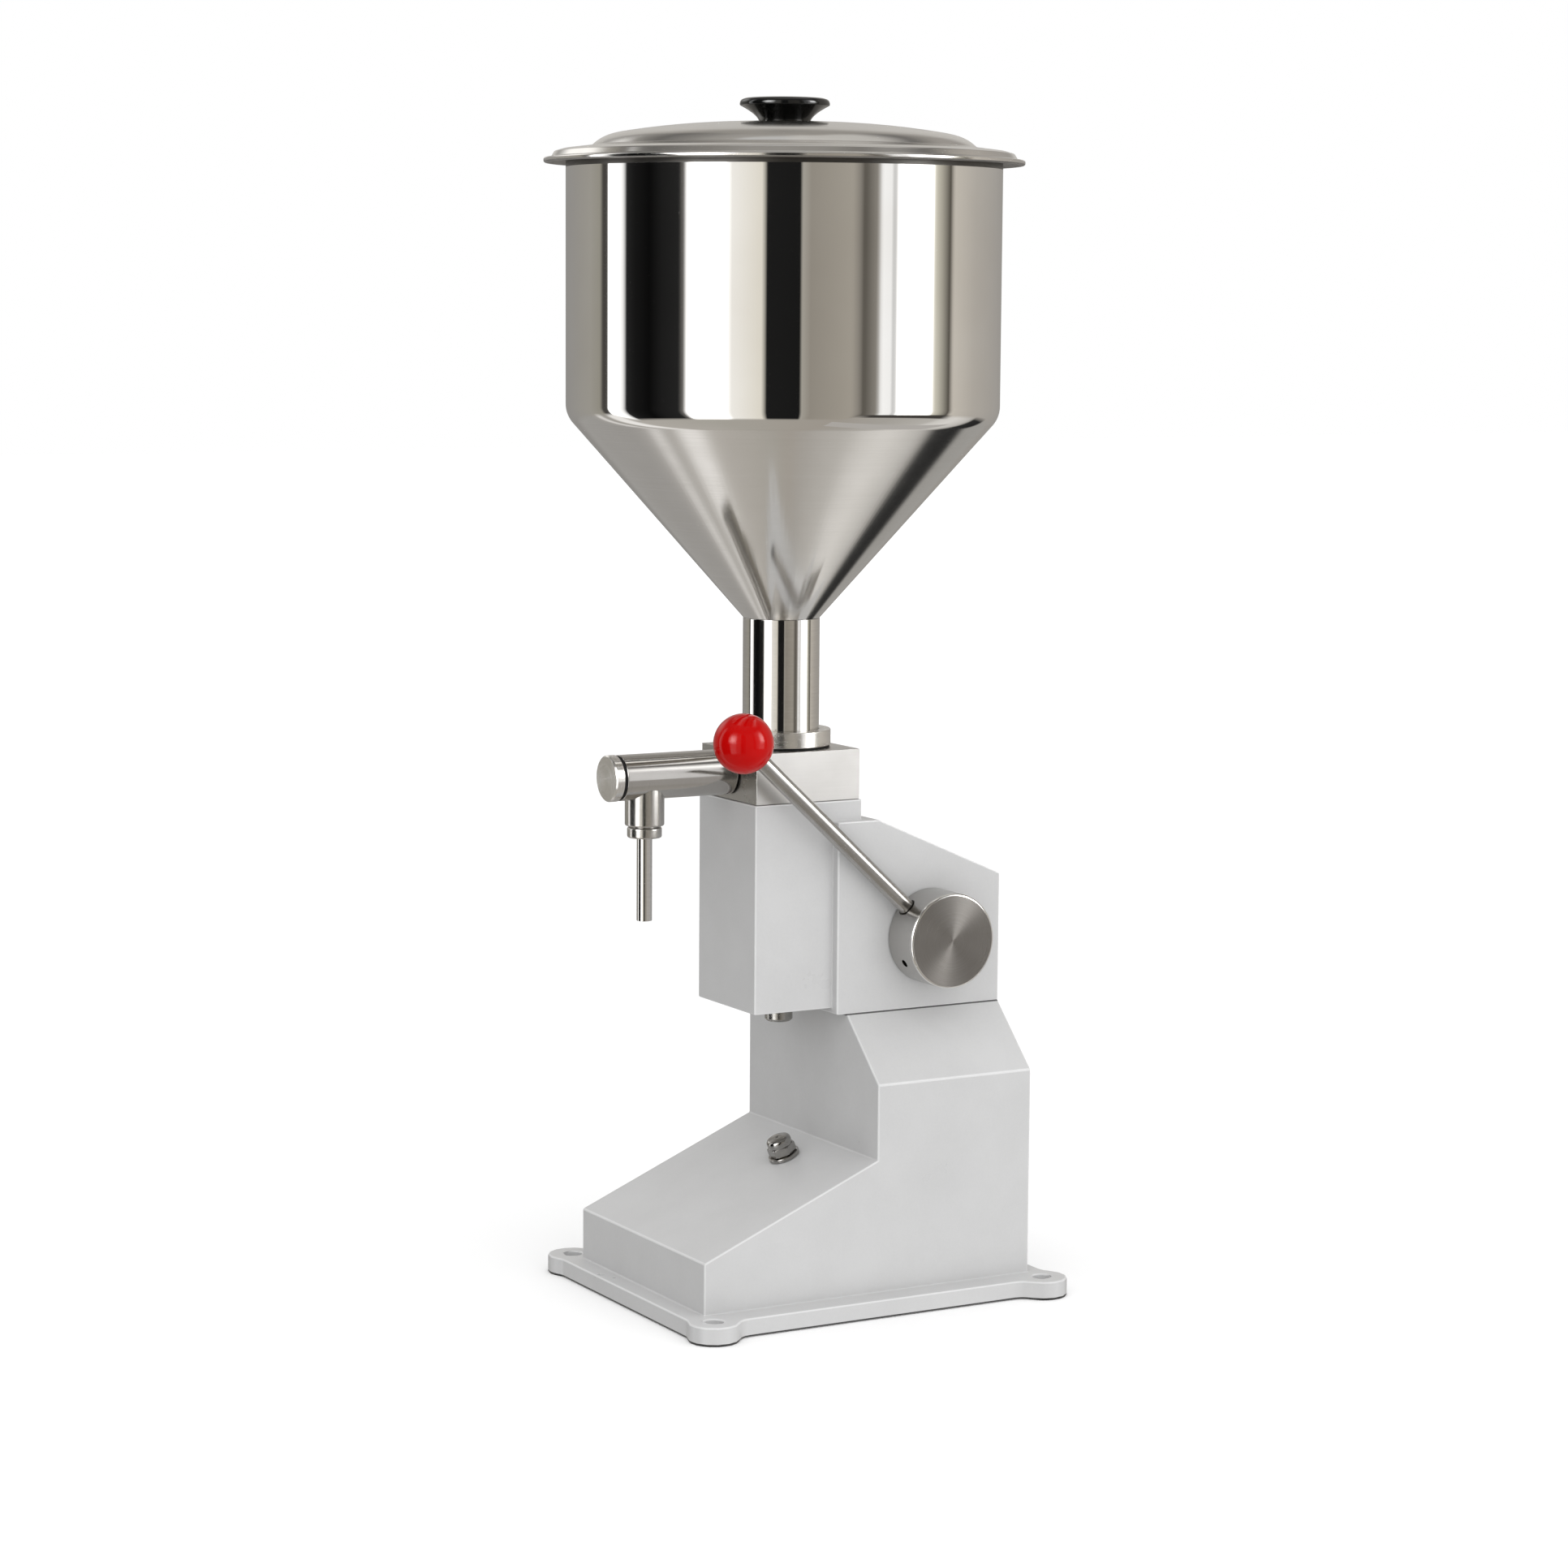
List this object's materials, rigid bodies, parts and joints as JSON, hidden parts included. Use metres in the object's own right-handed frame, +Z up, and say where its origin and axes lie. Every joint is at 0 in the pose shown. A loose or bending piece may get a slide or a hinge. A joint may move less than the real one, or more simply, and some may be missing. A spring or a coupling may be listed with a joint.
{
  "type": "piston filling machine",
  "caption": "Hand operated bench filler: hopper and lid over a valve block, with a lever that drives a piston and a side discharge tube with a nozzle.",
  "frame": {"origin": "on the vertical axis of the hopper and piston, in the plane that the four lugs stand on", "axes": "+Z up, -Y forward along the discharge tube, +X to the side with the lever"},
  "size_m": [0.3024, 0.3086, 0.7633],
  "materials": {
    "light_enamel": "smooth light grey satin paint",
    "satin_steel": "turned or ground stainless steel",
    "polished_steel": "mirror polished stainless steel",
    "dark_steel": "plain machined steel",
    "bronze": "bearing bronze",
    "black_rubber": "black seal rubber",
    "pale_seal": "white seal plastic",
    "black_plastic": "glossy black",
    "red_plastic": "glossy red"
  },
  "bodies": {
    "base": {"base_casting": "light_enamel", "housing_bolt_front_right": "dark_steel", "housing_bolt_front_left": "dark_steel", "housing_bolt_rear_right": "dark_steel", "housing_bolt_rear_left": "dark_steel", "adjuster_washer": "satin_steel", "upper_housing": "light_enamel", "rod_guide_bush": "bronze", "shaft_bush_right": "bronze", "shaft_bush_left": "bronze", "block_screw_front_right": "dark_steel", "block_screw_front_left": "dark_steel", "block_screw_rear_right": "dark_steel", "block_screw_rear_left": "dark_steel", "cylinder_sleeve": "satin_steel", "cylinder_seal": "pale_seal", "valve_block": "satin_steel", "inlet_ball_cage": "satin_steel", "inlet_seat": "pale_seal", "hopper_gasket": "black_rubber", "neck_collar": "satin_steel", "hopper_neck": "polished_steel", "hopper_bowl": "polished_steel", "tube_gasket": "black_rubber", "discharge_tube": "satin_steel", "outlet_seat": "pale_seal", "outlet_spring": "dark_steel", "end_cap": "satin_steel", "end_cap_seal": "black_rubber", "outlet_socket": "satin_steel", "nozzle_nut": "satin_steel", "nozzle_tube": "polished_steel", "nozzle_seal": "pale_seal"},
    "lever": {"lever_shaft": "dark_steel", "shaft_washer": "satin_steel", "shaft_retaining_ring": "dark_steel", "swing_arm": "dark_steel", "arm_key": "dark_steel", "roller_pin": "dark_steel", "lever_hub": "satin_steel", "hub_set_screw": "dark_steel", "lever_rod": "satin_steel", "lever_ball": "red_plastic"},
    "roller": {"arm_roller": "bronze"},
    "piston": {"piston_rod": "satin_steel", "piston_head": "satin_steel", "piston_seal_lower": "black_rubber", "piston_seal_upper": "black_rubber", "piston_screw": "dark_steel"},
    "lid": {"lid": "polished_steel", "lid_knob": "black_plastic", "lid_knob_screw": "dark_steel"},
    "inlet_ball": {"inlet_ball": "polished_steel"},
    "outlet_ball": {"outlet_ball": "polished_steel"},
    "stop_stud": {"adjuster_stud": "dark_steel"},
    "stop_nut": {"adjuster_nut": "satin_steel"}
  },
  "joints": [
    {"name": "lever_swing", "type": "hinge", "parent": "base", "child": "lever", "pos_m": [0, 0.086, 0.23199], "axis": [1, 0, 0], "range_deg": [0, 33]},
    {"name": "piston_slide", "type": "slide", "parent": "base", "child": "piston", "axis": [0, 0, -1], "range_m": [0, 0.0502]},
    {"name": "roller_spin", "type": "hinge", "parent": "lever", "child": "roller", "pos_m": [0, 0.00163, 0.25699], "axis": [1, 0, 0], "continuous": true},
    {"name": "lid_lift", "type": "slide", "parent": "base", "child": "lid", "axis": [0, 0, 1], "range_m": [0, 0.12]},
    {"name": "inlet_ball_lift", "type": "slide", "parent": "base", "child": "inlet_ball", "axis": [0, 0, 1], "range_m": [0, 0.0035]},
    {"name": "outlet_ball_lift", "type": "slide", "parent": "base", "child": "outlet_ball", "axis": [0, -1, 0], "range_m": [0, 0.005], "stiffness_N_per_m": 200, "springref_m": -0.01, "deforming": ["outlet_spring"]},
    {"name": "stop_lift", "type": "slide", "parent": "base", "child": "stop_stud", "axis": [0, -0.3891, 0.9212], "range_m": [0, 0.018]},
    {"name": "stop_turn", "type": "hinge", "parent": "stop_stud", "child": "stop_nut", "pos_m": [0.0065, 0.0015, 0.08745], "axis": [0, -0.3891, 0.9212], "range_deg": [0, 4321]}
  ],
  "couplings": [
    {"joint": "piston_slide", "follows": "lever_swing", "m_per_rad": 0.087087},
    {"joint": "stop_turn", "follows": "stop_lift", "rad_per_m": 4188.8}
  ]
}
